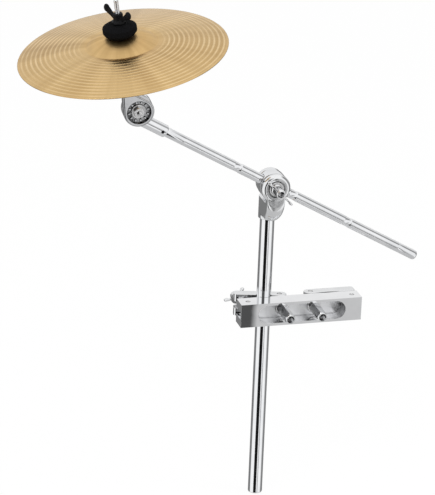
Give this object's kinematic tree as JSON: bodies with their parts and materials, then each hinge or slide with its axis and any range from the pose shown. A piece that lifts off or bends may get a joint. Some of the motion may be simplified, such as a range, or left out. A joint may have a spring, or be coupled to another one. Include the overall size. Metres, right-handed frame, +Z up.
{
  "type": "cymbal boom stand",
  "caption": "Clamp-on cymbal boom stand: down tube held in a slotted clamp bar with hinged jaws, tilting drum, knurled boom rod, and a small tilter carrying a splash cymbal between felts.",
  "frame": {"origin": "centre of the down tube's lower end, on its flush plug", "axes": "+Z up the down tube's axis, +X along the clamp bar towards its free jaw, -Y towards the side the boom wing nut is on"},
  "size_m": [0.5393, 0.2642, 0.7058],
  "materials": {
    "tube_chrome": "polished chrome plating on steel tube",
    "cast_chrome": "polished chrome plating on zinc casting",
    "satin_chrome": "satin chrome plating on zinc casting",
    "rod_chrome": "knurled and chrome plated steel rod",
    "bolt_steel": "zinc plated steel",
    "nut_chrome": "chrome plated",
    "black_plastic": "moulded black plastic",
    "black_felt": "dense black felt",
    "cymbal_brass": "lathed and brushed brass"
  },
  "bodies": {
    "clamp": {"clamp_bar": "cast_chrome", "left_swing_pin": "bolt_steel", "right_swing_pin": "bolt_steel", "left_stud_washer": "bolt_steel", "right_stud_washer": "bolt_steel"},
    "left_stud": {"left_eye_stud": "bolt_steel", "left_hinge_pin": "bolt_steel"},
    "right_stud": {"right_eye_stud": "bolt_steel", "right_hinge_pin": "bolt_steel"},
    "left_jaw": {"left_jaw": "cast_chrome"},
    "right_jaw": {"right_jaw": "cast_chrome"},
    "left_sleeve_nut": {"left_sleeve_nut": "nut_chrome"},
    "right_sleeve_nut": {"right_sleeve_nut": "nut_chrome"},
    "left_swing_bolt": {"left_swing_bolt": "bolt_steel"},
    "right_swing_bolt": {"right_swing_bolt": "bolt_steel"},
    "left_jaw_nut": {"left_jaw_wing_nut": "nut_chrome", "left_jaw_washer": "bolt_steel"},
    "right_jaw_nut": {"right_jaw_wing_nut": "nut_chrome", "right_jaw_washer": "bolt_steel"},
    "tube_slider": {"tube_end_plug": "black_plastic"},
    "tube": {"down_tube": "tube_chrome", "tilter_base": "cast_chrome"},
    "drum": {"rod_drum": "cast_chrome", "drum_cap": "cast_chrome", "eye_bolt": "bolt_steel"},
    "boom_nut": {"boom_wing_nut": "nut_chrome", "boom_washer": "bolt_steel"},
    "rod": {"boom_rod": "rod_chrome"},
    "socket": {"tilter_socket": "cast_chrome", "socket_set_screw": "bolt_steel", "tilter_bolt": "bolt_steel"},
    "head": {"tilter_head": "satin_chrome", "cymbal_post": "bolt_steel", "seat_washer": "bolt_steel", "cymbal_sleeve": "black_plastic"},
    "tilter_nut": {"tilter_nut": "bolt_steel", "tilter_washer": "bolt_steel"},
    "cymbal": {"cymbal": "cymbal_brass", "lower_felt": "black_felt", "upper_felt": "black_felt"},
    "cymbal_nut": {"cymbal_wing_nut": "black_plastic"}
  },
  "joints": [
    {"name": "tube_slide", "type": "slide", "parent": "clamp", "child": "tube_slider", "axis": [0, 0, 1], "range_m": [-0.075, 0.15]},
    {"name": "tube_turn", "type": "hinge", "parent": "tube_slider", "child": "tube", "pos_m": [0, 0, 0], "axis": [0, 0, 1], "continuous": true},
    {"name": "boom_tilt", "type": "hinge", "parent": "tube", "child": "drum", "pos_m": [0, -0.0174, 0.4447], "axis": [0, 1, 0], "range_deg": [-60, 10]},
    {"name": "boom_wing_nut_turn", "type": "hinge", "parent": "drum", "child": "boom_nut", "pos_m": [0, -0.0174, 0.4447], "axis": [0, -1, 0], "continuous": true},
    {"name": "rod_slide", "type": "slide", "parent": "drum", "child": "rod", "axis": [-0.8746, 0, 0.4848], "range_m": [-0.135, 0.2]},
    {"name": "socket_turn", "type": "hinge", "parent": "rod", "child": "socket", "pos_m": [0, -0.0174, 0.4447], "axis": [0.8746, 0, -0.4848], "range_deg": [-90, 90]},
    {"name": "cymbal_tilt", "type": "hinge", "parent": "socket", "child": "head", "pos_m": [-0.18404, -0.01861, 0.55945], "axis": [-0.0524, -0.9942, -0.0945], "range_deg": [-30, 60]},
    {"name": "tilter_nut_turn", "type": "hinge", "parent": "socket", "child": "tilter_nut", "pos_m": [-0.18404, -0.01861, 0.55945], "axis": [-0.0524, -0.9942, -0.0945], "continuous": true},
    {"name": "cymbal_spin", "type": "hinge", "parent": "head", "child": "cymbal", "pos_m": [-0.20549, -0.02465, 0.63486], "axis": [-0.1722, -0.0842, 0.9815], "continuous": true},
    {"name": "cymbal_wing_nut_turn", "type": "hinge", "parent": "head", "child": "cymbal_nut", "pos_m": [-0.20549, -0.02465, 0.63486], "axis": [-0.1722, -0.0842, 0.9815], "continuous": true},
    {"name": "left_sleeve_nut_turn", "type": "hinge", "parent": "clamp", "child": "left_sleeve_nut", "pos_m": [0.0224, -0.03, 0.2688], "axis": [0, -1, 0], "range_deg": [0, 1081]},
    {"name": "left_stud_slide", "type": "slide", "parent": "clamp", "child": "left_stud", "axis": [0, 1, 0], "range_m": [0, 0.00375]},
    {"name": "left_swing_bolt_turn", "type": "hinge", "parent": "clamp", "child": "left_swing_bolt", "pos_m": [-0.027, -0.019, 0.2688], "axis": [0, 0, 1], "range_deg": [0, 95]},
    {"name": "left_jaw_swing", "type": "hinge", "parent": "left_stud", "child": "left_jaw", "pos_m": [0.0224, 0.0033, 0.2688], "axis": [0, 0, -1], "range_deg": [0, 48]},
    {"name": "left_jaw_nut_turn", "type": "hinge", "parent": "left_swing_bolt", "child": "left_jaw_nut", "pos_m": [-0.027, 0.03, 0.2688], "axis": [0, 1, 0], "continuous": true},
    {"name": "right_sleeve_nut_turn", "type": "hinge", "parent": "clamp", "child": "right_sleeve_nut", "pos_m": [0.066, -0.03, 0.2688], "axis": [0, -1, 0], "range_deg": [0, 1081]},
    {"name": "right_stud_slide", "type": "slide", "parent": "clamp", "child": "right_stud", "axis": [0, 1, 0], "range_m": [0, 0.00375]},
    {"name": "right_swing_bolt_turn", "type": "hinge", "parent": "clamp", "child": "right_swing_bolt", "pos_m": [0.1155, -0.019, 0.2688], "axis": [0, 0, -1], "range_deg": [0, 95]},
    {"name": "right_jaw_swing", "type": "hinge", "parent": "right_stud", "child": "right_jaw", "pos_m": [0.066, 0.0049, 0.2688], "axis": [0, 0, 1], "range_deg": [0, 24]},
    {"name": "right_jaw_nut_turn", "type": "hinge", "parent": "right_swing_bolt", "child": "right_jaw_nut", "pos_m": [0.1155, 0.03, 0.2688], "axis": [0, 1, 0], "continuous": true}
  ],
  "couplings": [
    {"joint": "left_sleeve_nut_turn", "follows": "left_stud_slide", "rad_per_m": 5026.5},
    {"joint": "left_jaw_swing", "follows": "left_swing_bolt_turn", "ratio": 0.5},
    {"joint": "right_sleeve_nut_turn", "follows": "right_stud_slide", "rad_per_m": 5026.5},
    {"joint": "right_jaw_swing", "follows": "right_swing_bolt_turn", "ratio": 0.25}
  ]
}
